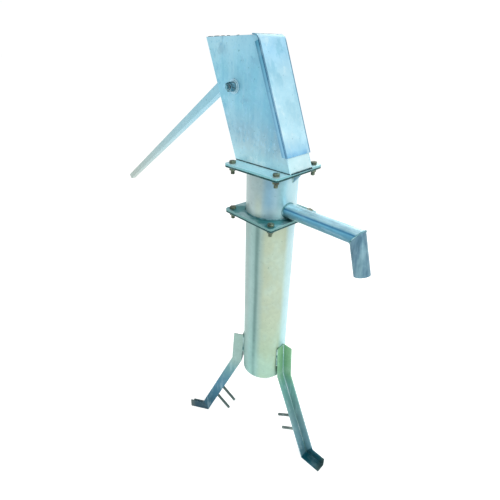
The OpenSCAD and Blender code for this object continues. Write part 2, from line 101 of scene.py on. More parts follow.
def srgb(red, green, blue):
    """A display colour, 0 to 255, as the linear RGBA that nodes take."""
    return tuple((c / 255) ** 2.2 for c in (red, green, blue)) + (1.0,)


# Zinc tints: bluish and yellowish passivation over galvanised steel
SKY = srgb(134, 194, 218)
SKY_DEEP = srgb(106, 172, 202)
SKY_GREY = srgb(156, 192, 204)
PLATE_TOP = srgb(162, 208, 224)
PLATE_MID = srgb(134, 196, 216)
PLATE_LOW = srgb(144, 184, 200)
ICE = srgb(188, 230, 244)
ICE_BLUE = srgb(160, 212, 238)
FROST = srgb(214, 242, 248)
TEAL_GREY = srgb(168, 194, 188)
TEAL_PALE = srgb(172, 204, 198)
CELADON = srgb(166, 180, 158)
MIST = srgb(182, 214, 220)
STEEL_BLUE = srgb(122, 162, 182)
LEAF = srgb(128, 178, 138)
LAGOON = srgb(108, 154, 156)
OCEAN = srgb(66, 120, 150)
PINE = srgb(30, 84, 80)
# Painted shade on the rims of the lower flange plates
RIM_SHADE = srgb(0, 70, 70)
OLIVE = srgb(74, 84, 70)
KHAKI = srgb(100, 114, 94)
RUST = srgb(58, 50, 44)
OIL = srgb(46, 44, 40)
BRIGHT = srgb(206, 212, 214)


# ---------------------------------------------------------------- node helpers


class Shade:
    """One material's node tree, with short calls for the nodes that the finishes share."""

    def __init__(self, name):
        self.material = bpy.data.materials.new(name)
        self.material.use_nodes = True
        self.tree = self.material.node_tree
        self.surface = self.tree.nodes["Principled BSDF"]
        self.place = self.add("ShaderNodeTexCoord").outputs["Object"]

    def add(self, kind, **settings):
        node = self.tree.nodes.new(kind)
        for key, value in settings.items():
            setattr(node, key, value)
        return node

    def plug(self, socket, value):
        """Links an output to a socket, or sets the socket's own value."""
        if isinstance(value, bpy.types.NodeSocket):
            self.tree.links.new(value, socket)
        else:
            socket.default_value = value

    def calc(self, operation, *values, clamp=False):
        node = self.add("ShaderNodeMath", operation=operation, use_clamp=clamp)
        for socket, value in zip(node.inputs, values):
            self.plug(socket, value)
        return node.outputs[0]

    def axis(self, vector, letter):
        node = self.add("ShaderNodeSeparateXYZ")
        self.plug(node.inputs[0], vector)
        return node.outputs[letter]

    def stretch(self, vector, scale, turn=(0, 0, 0)):
        """A vector turned, then scaled on each axis."""
        node = self.add("ShaderNodeMapping")
        self.plug(node.inputs["Vector"], vector)
        node.inputs["Rotation"].default_value = turn
        node.inputs["Scale"].default_value = scale
        return node.outputs[0]

    def noise(self, vector, scale, detail=3.0, rough=0.55):
        node = self.add("ShaderNodeTexNoise")
        self.plug(node.inputs["Vector"], vector)
        node.inputs["Scale"].default_value = scale
        node.inputs["Detail"].default_value = detail
        node.inputs["Roughness"].default_value = rough
        return node.outputs[0]

    def cells(self, vector, scale):
        """Random grey of each crystal cell."""
        node = self.add("ShaderNodeTexVoronoi")
        self.plug(node.inputs["Vector"], vector)
        node.inputs["Scale"].default_value = scale
        return self.axis(node.outputs["Color"], "X")

    def span(self, value, low, high, to_low=0.0, to_high=1.0, smooth=True):
        """A value's run from low to high, as a run from to_low to to_high."""
        node = self.add("ShaderNodeMapRange", interpolation_type="SMOOTHSTEP" if smooth else "LINEAR")
        for socket, given in zip(node.inputs, (value, low, high, to_low, to_high)):
            self.plug(socket, given)
        return node.outputs[0]

    def ramp(self, value, stops):
        """Colours along a value from 0 to 1."""
        node = self.add("ShaderNodeValToRGB")
        elements = node.color_ramp.elements
        while len(elements) < len(stops):
            elements.new(1.0)
        for element, (position, colour) in zip(elements, sorted(stops, key=lambda stop: stop[0])):
            element.position = position
            element.color = colour
        self.plug(node.inputs[0], value)
        return node.outputs[0]

    def mix(self, factor, a, b, mode="MIX"):
        node = self.add("ShaderNodeMix", data_type="RGBA", blend_type=mode)
        self.plug(node.inputs["Factor"], factor)
        colours = [socket for socket in node.inputs if socket.type == "RGBA"]
        self.plug(colours[0], a)
        self.plug(colours[1], b)
        return [socket for socket in node.outputs if socket.type == "RGBA"][0]

    def touch(self, colour, other, value, low, high, share):
        """Brings another tint into a colour as a value runs from low to high, up to a share."""
        return self.mix(self.span(value, low, high, 0.0, share), colour, other)

    def offset(self, origin, direction):
        """Distance from an origin along a direction."""
        node = self.add("ShaderNodeVectorMath", operation="DOT_PRODUCT")
        self.plug(node.inputs[0], self.place)
        node.inputs[1].default_value = direction
        return self.calc("SUBTRACT", node.outputs["Value"], Vector(origin).dot(Vector(direction)))

    def facing(self, direction):
        """How far the true surface faces a direction, from -1 to 1."""
        node = self.add("ShaderNodeVectorMath", operation="DOT_PRODUCT")
        self.plug(node.inputs[0], self.add("ShaderNodeTexCoord").outputs["Normal"])
        node.inputs[1].default_value = direction
        return node.outputs["Value"]

    def edge(self, radius):
        """1 on convex and concave edges within a radius, 0 on flats."""
        rounded = self.add("ShaderNodeBevel", samples=4)
        rounded.inputs["Radius"].default_value = radius
        geometry = self.add("ShaderNodeNewGeometry")
        node = self.add("ShaderNodeVectorMath", operation="DOT_PRODUCT")
        self.plug(node.inputs[0], rounded.outputs[0])
        self.plug(node.inputs[1], geometry.outputs["Normal"])
        return self.span(node.outputs["Value"], 0.995, 0.9)

    def crevice(self, distance):
        """1 deep in a corner, 0 in the open."""
        node = self.add("ShaderNodeAmbientOcclusion", samples=6)
        node.inputs["Distance"].default_value = distance
        return self.span(node.outputs["AO"], 0.85, 0.25)


def zinc(shade, colour, rough=0.4, metal=0.55, spangle=0.06, wear_and_sheen=FROST, bloom=0.3, grime_and_shade=PINE,
         corners=0.55):
    """Finishes a zinc-coated surface: crystals, cloudy bloom, dark specks, painted shade in corners, edges
    brightened as rubbed zinc and painted highlight, fine relief.
    """
    place = shade.place
    crystal = shade.cells(place, 95.0)
    cloud = shade.noise(place, 16.0, 5.0)
    grain = shade.noise(place, 420.0, 2.0)
    pocks = shade.noise(place, 120.0, 3.0)
    greys = shade.ramp(crystal, [(0.0, srgb(120, 140, 146)), (1.0, srgb(255, 255, 255))])
    colour = shade.mix(spangle, colour, greys, "OVERLAY")
    colour = shade.touch(colour, wear_and_sheen, cloud, 0.52, 0.8, bloom)
    specks = shade.calc("MULTIPLY", shade.span(pocks, 0.66, 0.74), 0.35)
    colour = shade.mix(specks, colour, grime_and_shade)
    # Painted shade: corners and crevices found by ambient occlusion are darkened towards the dark tint of the
    # specks.
    if corners:
        colour = shade.mix(shade.calc("MULTIPLY", shade.crevice(0.02), corners), colour, grime_and_shade)
    # Edges within 1.2 mm are brightened: rubbed zinc, and a painted highlight along the arrises.
    colour = shade.mix(shade.calc("MULTIPLY", shade.edge(0.0012), 0.5), colour, wear_and_sheen)
    shade.plug(shade.surface.inputs["Base Color"], colour)
    shade.plug(shade.surface.inputs["Metallic"], metal)
    dull = shade.calc("ADD", shade.span(cloud, 0.3, 0.75, rough - 0.06, rough + 0.12),
                      shade.calc("MULTIPLY", crystal, 0.06))
    shade.plug(shade.surface.inputs["Roughness"], dull)
    dents = shade.calc("ADD", shade.noise(place, 34.0, 2.0), shade.calc("MULTIPLY", crystal, 0.08))
    relief = shade.calc("ADD", shade.calc("MULTIPLY", grain, 0.25), dents)
    bump = shade.add("ShaderNodeBump")
    bump.inputs["Strength"].default_value = 0.22
    bump.inputs["Distance"].default_value = 0.0012
    shade.plug(bump.inputs["Height"], relief)
    shade.plug(shade.surface.inputs["Normal"], bump.outputs[0])
    return shade.material


def around(shade, stops, waver=0.035):
    """Tints by direction about the pump axis, wavering: stops are (degrees from +X, colour)."""
    x, y = (shade.axis(shade.place, letter) for letter in "XY")
    turn = shade.calc("DIVIDE", shade.calc("ARCTAN2", y, x), 2 * math.pi)
    sway = shade.noise(shade.stretch(shade.place, (9.0, 9.0, 3.0)), 1.0, 4.0)
    turn = shade.calc("ADD", turn, shade.calc("MULTIPLY", shade.calc("SUBTRACT", sway, 0.5), waver))
    turn = shade.calc("ADD", turn, 0.5)
    return shade.ramp(turn, [(degrees / 360 + 0.5, colour) for degrees, colour in stops])


# ------------------------------------------------------------------- finishes


def pedestal_finish():
    """Stand pipe: teal-grey, a dark streak down one side, yellow-green in front as a painted colour cast of
    the light, pale blue beyond.
    """
    shade = Shade("zinc_pedestal")
    dark_streak = srgb(106, 138, 134)
    # Tints by angle round the pipe; the yellow-green in front is a painted colour cast of the light.
    colour = around(shade, [
        (-180, TEAL_GREY), (-140, TEAL_GREY), (-112, srgb(150, 174, 170)),
        (-94, srgb(150, 182, 178)), (-86, srgb(140, 172, 168)), (-81, dark_streak), (-77, dark_streak),
        (-71, srgb(144, 170, 163)), (-58, CELADON), (-12, CELADON), (0, srgb(172, 204, 206)),
        (16, MIST), (45, MIST), (85, TEAL_PALE), (120, SKY_GREY), (150, TEAL_GREY), (180, TEAL_GREY),
    ], waver=0.018)
    patches = shade.noise(shade.stretch(shade.place, (9.0, 9.0, 5.0)), 1.0, 3.0)
    colour = shade.touch(colour, TEAL_PALE, patches, 0.48, 0.62, 0.3)
    low = shade.span(shade.axis(shade.place, "Z"), 0.4, 0.0, 0.0, 0.9)
    colour = shade.mix(low, colour, shade.mix(1.0, colour, srgb(232, 255, 250), "MULTIPLY"))
    return zinc(shade, colour, rough=0.42, bloom=0.2, wear_and_sheen=MIST)


def tank_finish():
    """Tank pipe: grey-teal, a faint yellowish patch low down, steel blue in front as painted shade under the
    flange, icy near the spout as painted light, lighter at its foot as painted light.
    """
    shade = Shade("zinc_tank")
    # Painted light and shade by angle round the tank: darker steel blue in front, in the flange's shade, and
    # pale icy tints on the lit side towards the spout.
    colour = around(shade, [
        (-180, TEAL_GREY), (-150, TEAL_GREY), (-110, srgb(164, 184, 184)), (-85, srgb(150, 172, 172)),
        (-73, srgb(148, 172, 174)), (-62, srgb(126, 164, 180)), (-54, STEEL_BLUE), (-41, srgb(138, 172, 184)),
        (-34, srgb(130, 168, 176)), (-27, srgb(134, 176, 184)), (-20, srgb(148, 192, 204)),
        (-12, srgb(168, 202, 210)), (10, MIST), (40, ICE), (90, MIST), (140, TEAL_PALE), (180, TEAL_GREY),
    ], waver=0.012)
    low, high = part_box("tank_shell")
    patch = shade.span(shade.axis(shade.place, "Z"), high.z - 0.05, low.z + 0.03)
    spot = around(shade, [
        (-92, srgb(0, 0, 0)), (-82, srgb(255, 255, 255)), (-76, srgb(255, 255, 255)), (-68, srgb(0, 0, 0)),
    ], waver=0.02)
    share = shade.calc("MULTIPLY", shade.calc("MULTIPLY", patch, shade.axis(spot, "X")), 0.55)
    colour = shade.mix(share, colour, CELADON)
    # Painted light: the tank is lightened near its foot, where the flange below shades it.
    foot = shade.span(shade.axis(shade.place, "Z"), low.z + 0.06, low.z + 0.01, 0.0, 0.3)
    colour = shade.mix(foot, colour, srgb(214, 238, 234))
    return zinc(shade, colour, rough=0.38, bloom=0.2, wear_and_sheen=MIST, corners=0.1)


def flange_finish(name, top, rim, corners=0.4):
    """Flange plate: its own tint on the flat faces, a darker tint on the upright rim faces as painted shade,
    bright arrises.
    """
    shade = Shade(name)
    flat = shade.span(shade.calc("ABSOLUTE", shade.facing((0, 0, 1))), 0.6, 0.95)
    patches = shade.noise(shade.place, 22.0, 4.0)
    surface = shade.mix(shade.span(patches, 0.4, 0.65), top, shade.mix(0.45, top, FROST))
    # Painted shade: the upright rim faces take the darker rim tint.
    colour = shade.mix(flat, rim, surface)
    return zinc(shade, colour, rough=0.34, metal=0.6, bloom=0.2, corners=corners)


def plate_finish(name, low, high):
    """Side plates of the head: bands along the lean, fine mottle, a pale foot with weld splashes."""
    shade = Shade(name)
    height = shade.span(shade.axis(shade.place, "Z"), low.z, high.z, smooth=False)
    banded = shade.stretch(shade.place, (17.0, 1.0, 1.6), (0, -HEAD_LEAN, 0))
    bands = shade.noise(banded, 1.0, 4.0, 0.6)
    scratched = shade.stretch(shade.place, (130.0, 1.0, 11.0), (0, -HEAD_LEAN, 0))
    scrapes = shade.noise(scratched, 1.0, 3.0)
    patches = shade.noise(shade.place, 11.0, 5.0, 0.6)
    speckled = shade.stretch(shade.place, (70.0, 1.0, 48.0), (0, -HEAD_LEAN, 0))
    mottle = shade.noise(speckled, 1.0, 4.0, 0.7)
    colour = shade.ramp(height, [
        (0.0, srgb(168, 216, 228)), (0.12, SKY_GREY), (0.3, PLATE_LOW), (0.5, PLATE_MID),
        (0.75, PLATE_MID), (1.0, PLATE_TOP),
    ])
    colour = shade.touch(colour, PLATE_TOP, bands, 0.5, 0.62, 0.5)
    colour = shade.touch(colour, SKY_DEEP, bands, 0.47, 0.36, 0.6)
    colour = shade.touch(colour, SKY, patches, 0.54, 0.66, 0.4)
    colour = shade.touch(colour, STEEL_BLUE, patches, 0.44, 0.34, 0.5)
    colour = shade.touch(colour, ICE_BLUE, mottle, 0.54, 0.66, 0.5)
    colour = shade.touch(colour, SKY_DEEP, mottle, 0.46, 0.34, 0.5)
    colour = shade.touch(colour, ICE, scrapes, 0.6, 0.75, 0.3)
    front = shade.calc("MULTIPLY", shade.span(shade.axis(shade.place, "X"), low.x, high.x, 0.0, 0.7),
                       shade.span(height, 0.1, 0.5))
    colour = shade.mix(front, colour, SKY_DEEP)
    foot = shade.span(height, 0.22, 0.02, 0.0, 0.6)
    colour = shade.mix(foot, colour, srgb(186, 232, 242))
    ragged = shade.calc("MULTIPLY", shade.noise(shade.place, 70.0, 6.0, 0.75), -0.11)
    wash = shade.span(shade.calc("ADD", shade.axis(shade.place, "Z"), ragged), low.z - 0.03, low.z - 0.05)
    middle_part = shade.span(shade.axis(shade.place, "X"), WASH_FROM, WASH_FROM + 0.05)
    fade = shade.span(shade.axis(shade.place, "X"), WASH_TO, WASH_TO - 0.05)
    splash = shade.calc("MULTIPLY", wash, shade.calc("MULTIPLY", middle_part, fade))
    colour = shade.mix(shade.calc("MULTIPLY", splash, 0.8), colour, FROST)
    return zinc(shade, colour, rough=0.42, metal=0.5, wear_and_sheen=SKY_GREY, bloom=0.15, corners=0.2)


def cover_finish():
    """Front cover: icy face with blue blotches, darker just above its foot as painted shade, side lips darker
    as painted shade, and a dark line on each side of a lip: a painted reflection along the bend and a painted
    gap shadow at the rear edge.
    """
    shade = Shade("zinc_cover")
    low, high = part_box("front_cover")
    sideways = shade.calc("ABSOLUTE", shade.facing((0, 1, 0)))
    mottle = shade.noise(shade.stretch(shade.place, (13.0, 16.0, 11.0)), 1.0, 6.0, 0.62)
    height = shade.span(shade.axis(shade.place, "Z"), low.z, high.z, smooth=False)
    # Painted shade: the face is darker just above its foot.
    face = shade.ramp(height, [
        (0.0, srgb(112, 176, 220)), (0.05, ICE_BLUE), (0.16, ICE), (0.4, srgb(176, 222, 238)),
        (0.7, srgb(172, 218, 236)), (0.86, ICE_BLUE), (0.96, ICE_BLUE), (1.0, SKY_GREY),
    ])
    upper = shade.span(height, 0.35, 0.9, 0.25, 0.7)
    face = shade.mix(shade.calc("MULTIPLY", shade.span(mottle, 0.5, 0.6), upper), face, SKY)
    face = shade.touch(face, FROST, mottle, 0.44, 0.34, 0.5)
    # Painted shade: the side lips, turned from the key light, darker towards the top.
    lip = shade.ramp(height, [
        (0.0, srgb(128, 182, 212)), (0.4, srgb(120, 176, 204)), (0.75, srgb(92, 156, 184)),
        (1.0, srgb(70, 140, 168)),
    ])
    # Dark lines: a painted reflection along each bend, on the lip and on the face, and a painted gap shadow
    # at each lip's rear edge.
    line = shade.ramp(height, [
        (0.0, srgb(70, 124, 160)), (0.5, srgb(52, 112, 148)), (1.0, srgb(20, 84, 112)),
    ])
    point, front = front_plane("front_cover")
    depth = shade.calc("MULTIPLY", shade.offset(point, front), -1.0)
    on_lip = shade.span(sideways, 0.6, 0.8)
    near = shade.span(depth, LIP_WIDE * 0.4, LIP_WIDE * 0.25)
    far = shade.span(depth, LIP_WIDE - 0.003, LIP_WIDE - 0.001, 0.0, 0.35)
    lip = shade.mix(shade.calc("MAXIMUM", near, far), lip, line)
    across = shade.calc("ABSOLUTE", shade.axis(shade.place, "Y"))
    bend = shade.calc("MULTIPLY", shade.span(across, high.y - 0.005, high.y - 0.0035),
                      shade.span(height, 0.99, 0.93))
    face = shade.mix(shade.calc("MULTIPLY", bend, 0.8), face, line)
    colour = shade.mix(on_lip, face, lip)
    return zinc(shade, colour, rough=0.36, metal=0.5, wear_and_sheen=ICE, grime_and_shade=OCEAN, corners=0.3)


def front_plane(node):
    """A point on a node's largest forward face, and that face's normal."""
    mesh = NODES[node].data
    forward = [p for p in mesh.polygons if p.normal.x > 0.7]
    largest = max(forward, key=lambda p: p.area)
    return largest.center.copy(), largest.normal.copy()


def sheet_finish(name, colour, other):
    """Plain zinc sheet in two mingled tints."""
    shade = Shade(name)
    clouds = shade.noise(shade.stretch(shade.place, (8.0, 8.0, 8.0)), 1.0, 4.0)
    return zinc(shade, shade.mix(shade.span(clouds, 0.4, 0.65), colour, other), rough=0.38)


def leg_finish(name, stops, foot):
    """Legs: tints graded by height, stops being (metres above the ground, colour), and the foot's tint, a
    dark painted shade inside the bent foot.
    """
    shade = Shade(name)
    sway = shade.calc("MULTIPLY", shade.calc("SUBTRACT", shade.noise(shade.place, 14.0, 4.0), 0.5), 0.03)
    above = shade.calc("SUBTRACT", shade.axis(shade.place, "Z"), cad_low.z)
    height = shade.calc("ADD", above, sway)
    tallest = stops[-1][0]
    colour = shade.ramp(shade.calc("DIVIDE", height, tallest), [(h / tallest, c) for h, c in stops])
    streaks = shade.noise(shade.stretch(shade.place, (60.0, 60.0, 8.0)), 1.0, 3.0)
    colour = shade.touch(colour, MIST, streaks, 0.54, 0.7, 0.25)
    across, along = shade.axis(shade.place, "X"), shade.axis(shade.place, "Y")
    radius = shade.calc("SQRT", shade.calc("ADD", shade.calc("MULTIPLY", across, across),
                                           shade.calc("MULTIPLY", along, along)))
    blotch = shade.noise(shade.place, 30.0, 4.0)
    # Past the heel line the foot takes its dark tint, painted shade, with blotches and a greyer toe.
    tread = shade.touch(foot, shade.mix(0.25, foot, TEAL_GREY), blotch, 0.5, 0.64, 0.4)
    tip = shade.span(radius, TOE_RADIUS - 0.03, TOE_RADIUS)
    tread = shade.mix(shade.calc("MULTIPLY", tip, 0.7), tread, srgb(72, 86, 80))
    beyond = shade.calc("SUBTRACT", radius, shade.calc("MULTIPLY", above, HEEL_SLANT))
    colour = shade.mix(shade.span(beyond, HEEL_RADIUS - 0.003, HEEL_RADIUS + 0.003), colour, tread)
    return zinc(shade, colour, rough=0.38, metal=0.5, bloom=0.15, corners=0)


def pipe_line(node):
    """The start of a short pipe's axis, and the directions across it and up, from its end rims."""
    outlines = (line for line in chains(node) if length(line) > PIPE_RIM)
    rims = sorted(outlines, key=lambda line: middle(line).xy.length)
    start, end = middle(rims[0]), middle(rims[-1])
    along = (end - start).normalized()
    across = along.cross(Vector((0, 0, 1))).normalized()
    return start, across, across.cross(along)


def round_tint(shade, line, stops, waver=0.02):
    """Tints by direction about a pipe: stops are (degrees above level on the near side, colour)."""
    start, across, up = line
    turn = shade.calc("DIVIDE", shade.calc("ARCTAN2", shade.offset(start, up), shade.offset(start, across)),
                      2 * math.pi)
    sway = shade.calc("SUBTRACT", shade.noise(shade.place, 9.0, 4.0), 0.5)
    turn = shade.calc("ADD", shade.calc("ADD", turn, shade.calc("MULTIPLY", sway, waver)), 0.5)
    return shade.ramp(turn, [(degrees / 360 + 0.5, colour) for degrees, colour in stops])


def spout_finish():
    """Spout: pale on top as a painted highlight, a blue line below it as a painted reflection, mid blue,
    grey-green underneath.
    """
    shade = Shade("zinc_spout")
    # Painted reflection: the dark blue line along the spout, below its highlighted top.
    line = srgb(52, 116, 156)
    start, across, up = pipe_line("spout_pipe")
    colour = round_tint(shade, (start, across, up), [
        (-180, SKY_GREY), (-120, LAGOON), (-50, srgb(130, 166, 168)), (-18, srgb(96, 144, 154)),
        (2, srgb(92, 154, 178)), (18, srgb(104, 176, 206)), (27, line), (31, line), (40, srgb(150, 204, 222)),
        (50, ICE), (120, ICE), (180, SKY_GREY),
    ], waver=0.03)
    outer_half = shade.span(shade.offset(start, up.cross(across)), 0.05, 0.15, 0.0, 0.5)
    below = shade.span(shade.offset(start, up), 0.012, 0.0)
    colour = shade.mix(shade.calc("MULTIPLY", outer_half, below), colour, srgb(60, 118, 146))
    streaks = shade.noise(shade.stretch(shade.place, (9.0, 70.0, 70.0)), 1.0, 4.0, 0.6)
    colour = shade.touch(colour, SKY_GREY, streaks, 0.5, 0.64, 0.3)
    colour = shade.touch(colour, srgb(74, 132, 160), streaks, 0.48, 0.38, 0.3)
    return zinc(shade, colour, rough=0.36, metal=0.5, bloom=0.2)


def nozzle_finish():
    """Spout end piece: slate blue with upright streaks and a paler edge."""
    shade = Shade("zinc_nozzle")
    streaks = shade.noise(shade.stretch(shade.place, (70.0, 70.0, 8.0)), 1.0, 4.0)
    colour = shade.ramp(streaks, [
        (0.34, srgb(74, 110, 128)), (0.46, srgb(92, 128, 146)), (0.56, srgb(104, 142, 156)),
        (0.68, srgb(122, 158, 170)),
    ])
    return zinc(shade, colour, rough=0.38, metal=0.5, bloom=0.15)


def bar_finish():
    """Handle bar: light blue near the head, greener and rubbed towards the grip."""
    shade = Shade("zinc_bar")
    low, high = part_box("handle_bar")
    along = shade.span(shade.axis(shade.place, "X"), high.x, low.x, smooth=False)
    colour = shade.ramp(along, [(0.0, SKY), (0.45, srgb(152, 194, 206)), (0.75, srgb(166, 190, 190)),
                                (1.0, srgb(172, 184, 176))])
    return zinc(shade, colour, rough=0.4)


def fastener_finish():
    """Passivated bolts and nuts: dark brown, olive and grey-green patches."""
    shade = Shade("passivated_fastener")
    patches = shade.noise(shade.place, 80.0, 4.0)
    colour = shade.ramp(patches, [(0.3, RUST), (0.44, OLIVE), (0.58, KHAKI), (0.72, srgb(150, 172, 146))])
    # This tint brightens the bloom and the edges: rubbed metal, and a painted highlight on the arrises.
    rubbed = srgb(128, 146, 126)
    return zinc(shade, colour, rough=0.4, metal=0.5, wear_and_sheen=rubbed, bloom=0.15, grime_and_shade=RUST)


def weld_finish(name, tints, wear_and_sheen=FROST):
    """Weld metal under zinc, in four tints from burnt to bright."""
    shade = Shade(name)
    patches = shade.noise(shade.place, 60.0, 5.0)
    colour = shade.ramp(patches, list(zip((0.3, 0.42, 0.55, 0.7), tints)))
    return zinc(shade, colour, rough=0.42, metal=0.6, wear_and_sheen=wear_and_sheen)


def bare_finish(name, colour, oil, rough=0.25):
    """Machined or oiled steel inside the head."""
    shade = Shade(name)
    film = shade.noise(shade.place, 70.0, 4.0)
    tint = shade.mix(shade.span(film, 0.42, 0.62), colour, oil)
    return zinc(shade, tint, rough=rough, metal=0.9, spangle=0.0, wear_and_sheen=BRIGHT, grime_and_shade=OIL)


def floor_finish():
    """Plain pale floor."""
    shade = Shade("pale_floor")
    tone = shade.noise(shade.place, 1.5, 3.0)
    colour = shade.mix(tone, (0.93, 0.94, 0.94, 1.0), (0.96, 0.96, 0.96, 1.0))
    shade.plug(shade.surface.inputs["Base Color"], colour)
    shade.plug(shade.surface.inputs["Roughness"], 0.9)
    shade.plug(shade.surface.inputs["Specular IOR Level"], 0.0)
    shade.plug(shade.surface.inputs["Emission Color"], (1.0, 1.0, 1.0, 1.0))
    shade.plug(shade.surface.inputs["Emission Strength"], FLOOR_GLOW)
    return shade.material


# ------------------------------------------------------------ dressing of nodes


def soften(node, width):
    """Rounds the sharp edges of a CAD node with modifiers; the mesh itself stays."""
    piece = NODES[node]
    mesh = piece.data
    for name in ("custom_normal", "sharp_edge", "sharp_face"):
        if name in mesh.attributes:
            mesh.attributes.remove(mesh.attributes[name])
    mesh.shade_smooth()
    weld = piece.modifiers.new("weld", "WELD")
    weld.merge_threshold = 1e-6
    flat = piece.modifiers.new("flat", "DECIMATE")
    flat.decimate_type = "DISSOLVE"
    flat.angle_limit = math.radians(0.6)
    round_off = piece.modifiers.new("round", "BEVEL")
    round_off.width = width
    round_off.segments = 2
    round_off.limit_method = "ANGLE"
    round_off.angle_limit = SHARP
    round_off.miter_outer = "MITER_ARC"
    normals = piece.modifiers.new("normals", "WEIGHTED_NORMAL")
    normals.keep_sharp = False
    normals.weight = 80


def dress(material, width, *nodes):
    """Gives CAD nodes their finish, and their edges a radius in metres."""
    for node in nodes:
        piece = NODES[node]
        piece.data.materials.clear()
        piece.data.materials.append(material)
        if width:
            soften(node, width)


def new_piece(name, builder, material, body):
    """A mesh piece that rides on a CAD body."""
    mesh = bpy.data.meshes.new(name)
    builder.to_mesh(mesh)
    builder.free()
    mesh.shade_smooth()
    mesh.materials.append(material)
    piece = bpy.data.objects.new(name, mesh)
    bpy.context.scene.collection.objects.link(piece)
    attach(piece, body)
    return piece


# ---------------------------------------------------------- outlines from the CAD


def merged(node):
    """A CAD node's mesh for reading, its doubled points merged."""
    builder = bmesh.new()
    builder.from_mesh(NODES[node].data)
    bmesh.ops.remove_doubles(builder, verts=builder.verts, dist=1e-6)
    return builder


def chains(node):
    """The sharp edge lines of a CAD node, each as an ordered list of points."""
    builder = merged(node)
    sharp = {e for e in builder.edges if len(e.link_faces) == 2 and e.calc_face_angle() > SHARP}
    lines = []
    while sharp:
        first = min(sharp, key=lambda e: e.index)
        sharp.discard(first)
        line = list(first.verts)
        growing = True
        while growing:
            growing = False
            onward = [e for e in line[-1].link_edges if e in sharp]
            if len(onward) == 1 or (onward and line[0] in [e.other_vert(line[-1]) for e in onward]):
                step = onward[0]
                sharp.discard(step)
                line.append(step.other_vert(line[-1]))
                growing = line[-1] is not line[0]
        lines.append([v.co.copy() for v in line])
    builder.free()
    return lines


def length(line):
    return sum((b - a).length for a, b in zip(line, line[1:]))


def middle(line):
    return sum(line, Vector()) / len(line)


def ring(centre, radius, axis=Vector((0, 0, 1)), count=120):
    """A closed circle of points."""
    side = axis.orthogonal().normalized()
    other = axis.cross(side)
    angles = [2 * math.pi * i / count for i in range(count + 1)]
    return [centre + radius * (math.cos(a) * side + math.sin(a) * other) for a in angles]


def resample(line, step):
    """The same line in even steps."""
    total = length(line)
    count = max(2, round(total / step))
    out, walked, index = [], 0.0, 0
    for i in range(count + 1):
        target = total * i / count
        while index < len(line) - 2 and walked + (line[index + 1] - line[index]).length < target:
            walked += (line[index + 1] - line[index]).length
            index += 1
        piece = line[index + 1] - line[index]
        share = 0 if piece.length == 0 else min(1.0, (target - walked) / piece.length)
        out.append(line[index] + share * piece)
    return out


# ------------------------------------------------------------------- new pieces

# Shortest closed outline that counts as a pipe's rim
PIPE_RIM = 0.12
# Weld beads: sides of their section, steps along them, and length of a ripple
BEAD_SIDES = 8
BEAD_STEP = 1.3 * MM
RIPPLE = 4.2 * MM
# A direction that no bead runs along
ASKEW = Vector((0.13, 0.21, 0.97))
# Screw threads: steps in a turn, and their section as (along, out) in pitches
THREAD_STEPS = 20
THREAD_SECTION = [(-0.44, -0.04), (0.0, 0.3), (0.44, -0.04), (0.0, -0.3)]


def skin(builder, rings, closed=False):
    """Faces between successive rings of points, and a cap on each end of an open run."""
    following = rings[1:]
    if closed:
        following = following + rings[:1]
    else:
        builder.faces.new(rings[0][::-1])
        builder.faces.new(rings[-1])
    for a, b in zip(rings, following):
        for k in range(len(a)):
            n = (k + 1) % len(a)
            builder.faces.new((a[k], a[n], b[n], b[k]))


def sweep(builder, line, radius_at, closed):
    """A tube along a line, its radius given at each step."""
    rings = []
    count = len(line)
    for i, point in enumerate(line):
        before = line[i - 1] if i else (line[-2] if closed else line[0])
        after = line[i + 1] if i < count - 1 else (line[1] if closed else line[-1])
        ahead = (after - before).normalized()
        side = ahead.cross(ASKEW).normalized()
        up = side.cross(ahead)
        spokes = [2 * math.pi * k / BEAD_SIDES for k in range(BEAD_SIDES)]
        radius = radius_at(i)
        circle = [point + radius * (math.cos(s) * side + math.sin(s) * up) for s in spokes]
        rings.append([builder.verts.new(place) for place in circle])
    if closed:
        for v in rings.pop():
            builder.verts.remove(v)
    skin(builder, rings, closed)


def weld_bead(name, lines, radius, body="stand", material=None):
    """Rippled weld beads along lines, half buried in the joint."""
    builder = bmesh.new()
    for line in lines:
        points = resample(line, BEAD_STEP)
        closed = (line[0] - line[-1]).length < 1e-5

        def radius_at(i):
            place = points[i]
            scallop = 0.1 * math.cos(2 * math.pi * i * BEAD_STEP / RIPPLE)
            lumps = 0.28 * noise.noise(place * 70) + 0.12 * noise.noise(place * 220)
            tail = 1.0 if closed else min(1.0, 0.35 + 0.3 * min(i, len(points) - 1 - i))
            return radius * (1 + scallop + lumps) * tail

        sweep(builder, points, radius_at, closed)
    bmesh.ops.recalc_face_normals(builder, faces=builder.faces)
    return new_piece(name, builder, material or WELD, body)


def thread(name, rods, pitch, material, body):
    """Screw threads: rods are (start, end, radius)."""
    builder = bmesh.new()
    for start, end, radius in rods:
        axis = (end - start).normalized()
        side = axis.orthogonal().normalized()
        other = axis.cross(side)
        count = int((end - start).length / pitch * THREAD_STEPS)
        rings = []
        for i in range(count + 1):
            angle = 2 * math.pi * i / THREAD_STEPS
            out = math.cos(angle) * side + math.sin(angle) * other
            centre = start + axis * (pitch * i / THREAD_STEPS)
            fade = min(1.0, i / 8, (count - i) / 8)
            rings.append([builder.verts.new(centre + axis * (u * pitch) + out * (radius + v * pitch * fade))
                          for u, v in THREAD_SECTION])
        skin(builder, rings)
    bmesh.ops.recalc_face_normals(builder, faces=builder.faces)
    return new_piece(name, builder, material, body)


